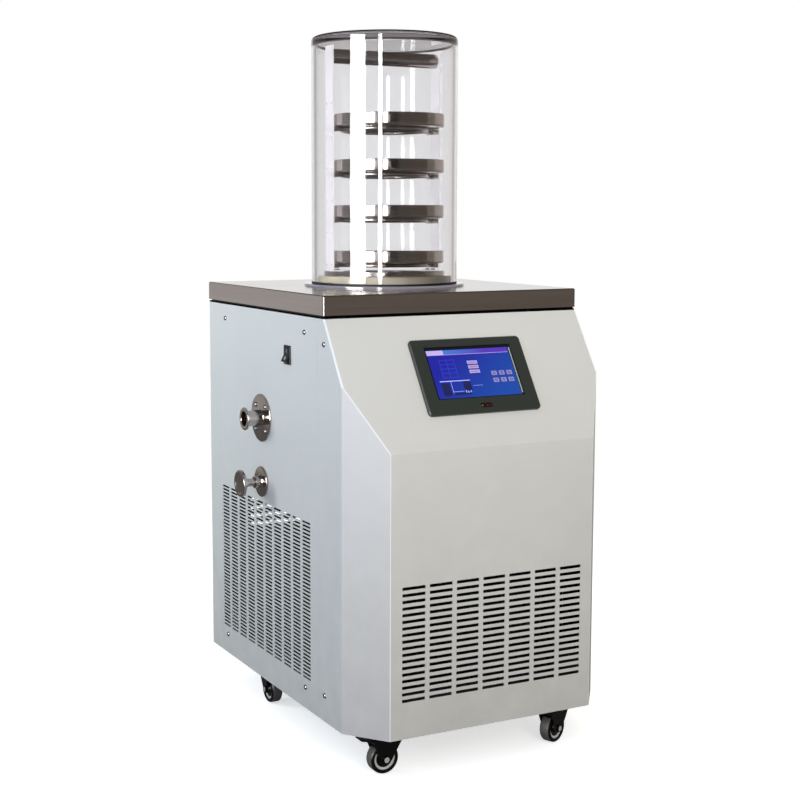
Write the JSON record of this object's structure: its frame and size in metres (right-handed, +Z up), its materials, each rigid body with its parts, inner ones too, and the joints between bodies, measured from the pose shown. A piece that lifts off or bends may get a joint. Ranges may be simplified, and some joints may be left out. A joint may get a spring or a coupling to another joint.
{
  "type": "freeze dryer",
  "caption": "Vertical laboratory freeze dryer: vented sheet-metal cabinet on casters with a sloped touch screen, side port and valve, and a clear drum over a tray rack and cold trap.",
  "frame": {"origin": "on the floor, under the vertical axis of the drum and the cold trap", "axes": "+X to the right of someone who faces the screen, +Y to the back, +Z up"},
  "size_m": [0.5284, 0.631, 1.197],
  "materials": {
    "panel_paint": "satin powder coat, warm white",
    "frame_steel": "zinc plated",
    "fastener_steel": "bright",
    "bezel_plastic": "satin dark green-grey",
    "housing_plastic": "black",
    "screen_glass": "glossy screen",
    "indicator_plastic": "dark glossy",
    "rocker_plastic": "black glossy",
    "stainless": "satin stainless",
    "foam": "foam",
    "flange_acrylic": "translucent violet-grey acrylic",
    "seal_rubber": "matte black",
    "clear_acrylic": "clear polished acrylic",
    "ring_plastic": "cream",
    "compressor_paint": "light grey",
    "fin_aluminium": "mill finish",
    "zinc_sheet": "galvanised",
    "motor_paint": "black",
    "fan_plastic": "black",
    "copper": "copper tube",
    "caster_paint": "gloss black paint",
    "wheel_plastic": "black rubber tyre on a nylon core",
    "pedal_plastic": "black"
  },
  "bodies": {
    "cabinet": {"base_pan": "panel_paint", "frame_posts": "frame_steel", "top_rails": "frame_steel", "left_side_panel": "panel_paint", "right_side_panel": "panel_paint", "rear_panel": "panel_paint", "front_shell": "panel_paint", "top_cap": "stainless", "panel_screws": "fastener_steel", "screen_bezel": "bezel_plastic", "screen_housing": "housing_plastic", "screen_window": "screen_glass", "indicator_window": "indicator_plastic", "switch_frame": "housing_plastic", "vacuum_port": "stainless", "port_screws": "fastener_steel", "valve_body": "stainless", "cold_trap_pot": "stainless", "trap_insulation": "foam", "seat_flange": "flange_acrylic", "drum_gasket": "seal_rubber", "acrylic_drum": "clear_acrylic", "seat_ring": "ring_plastic", "rack_base": "flange_acrylic", "left_upright": "clear_acrylic", "right_upright": "clear_acrylic", "handle_tube": "stainless", "rack_screws": "fastener_steel", "shelf_ring_1": "stainless", "shelf_ring_2": "stainless", "shelf_ring_3": "stainless", "shelf_ring_4": "stainless", "tray_1": "stainless", "tray_2": "stainless", "tray_3": "stainless", "tray_4": "stainless", "compressor": "compressor_paint", "compressor_mounts": "seal_rubber", "condenser_coil": "fin_aluminium", "fan_shroud": "zinc_sheet", "fan_motor": "motor_paint", "refrigerant_line": "copper", "control_box": "housing_plastic", "power_inlet": "housing_plastic", "caster_plates": "caster_paint", "caster_bolts": "fastener_steel"},
    "power_rocker": {"power_rocker": "rocker_plastic"},
    "valve_knob": {"valve_knob": "stainless"},
    "fan_rotor": {"fan_rotor": "fan_plastic"},
    "caster_fork_fl": {"caster_fork_fl": "caster_paint"},
    "caster_wheel_fl": {"caster_wheel_fl": "wheel_plastic"},
    "brake_pedal_fl": {"brake_pedal_fl": "pedal_plastic"},
    "caster_fork_fr": {"caster_fork_fr": "caster_paint"},
    "caster_wheel_fr": {"caster_wheel_fr": "wheel_plastic"},
    "brake_pedal_fr": {"brake_pedal_fr": "pedal_plastic"},
    "caster_fork_rl": {"caster_fork_rl": "caster_paint"},
    "caster_wheel_rl": {"caster_wheel_rl": "wheel_plastic"},
    "caster_fork_rr": {"caster_fork_rr": "caster_paint"},
    "caster_wheel_rr": {"caster_wheel_rr": "wheel_plastic"}
  },
  "joints": [
    {"name": "power_rocker_tilt", "type": "hinge", "parent": "cabinet", "child": "power_rocker", "pos_m": [-0.241, -0.1115, 0.654], "axis": [0, -1, 0], "range_deg": [0, 26]},
    {"name": "valve_knob_turn", "type": "hinge", "parent": "cabinet", "child": "valve_knob", "pos_m": [-0.265, 0, 0.421], "axis": [-1, 0, 0], "range_deg": [0, 720]},
    {"name": "fan_spin", "type": "hinge", "parent": "cabinet", "child": "fan_rotor", "pos_m": [0, -0.259, 0.213], "axis": [0, 1, 0], "continuous": true},
    {"name": "caster_swivel_fl", "type": "hinge", "parent": "cabinet", "child": "caster_fork_fl", "pos_m": [-0.16, -0.335, 0.058], "axis": [0, 0, 1], "continuous": true},
    {"name": "caster_roll_fl", "type": "hinge", "parent": "caster_fork_fl", "child": "caster_wheel_fl", "pos_m": [-0.1795, -0.335, 0.025], "axis": [0, -1, 0], "continuous": true},
    {"name": "brake_pedal_press_fl", "type": "hinge", "parent": "caster_fork_fl", "child": "brake_pedal_fl", "pos_m": [-0.196, -0.335, 0.053], "axis": [0, -1, 0], "range_deg": [0, 18]},
    {"name": "caster_swivel_fr", "type": "hinge", "parent": "cabinet", "child": "caster_fork_fr", "pos_m": [0.16, -0.335, 0.058], "axis": [0, 0, 1], "continuous": true},
    {"name": "caster_roll_fr", "type": "hinge", "parent": "caster_fork_fr", "child": "caster_wheel_fr", "pos_m": [0.14192, -0.34231, 0.025], "axis": [0.3746, -0.9272, 0], "continuous": true},
    {"name": "brake_pedal_press_fr", "type": "hinge", "parent": "caster_fork_fr", "child": "brake_pedal_fr", "pos_m": [0.12662, -0.34849, 0.053], "axis": [0.3746, -0.9272, 0], "range_deg": [0, 18]},
    {"name": "caster_swivel_rl", "type": "hinge", "parent": "cabinet", "child": "caster_fork_rl", "pos_m": [-0.2, 0.075, 0.058], "axis": [0, 0, 1], "continuous": true},
    {"name": "caster_roll_rl", "type": "hinge", "parent": "caster_fork_rl", "child": "caster_wheel_rl", "pos_m": [-0.2, 0.0555, 0.025], "axis": [1, 0, 0], "continuous": true},
    {"name": "caster_swivel_rr", "type": "hinge", "parent": "cabinet", "child": "caster_fork_rr", "pos_m": [0.2, 0.075, 0.058], "axis": [0, 0, 1], "continuous": true},
    {"name": "caster_roll_rr", "type": "hinge", "parent": "caster_fork_rr", "child": "caster_wheel_rr", "pos_m": [0.19333, 0.05668, 0.025], "axis": [0.9397, -0.342, 0], "continuous": true}
  ]
}
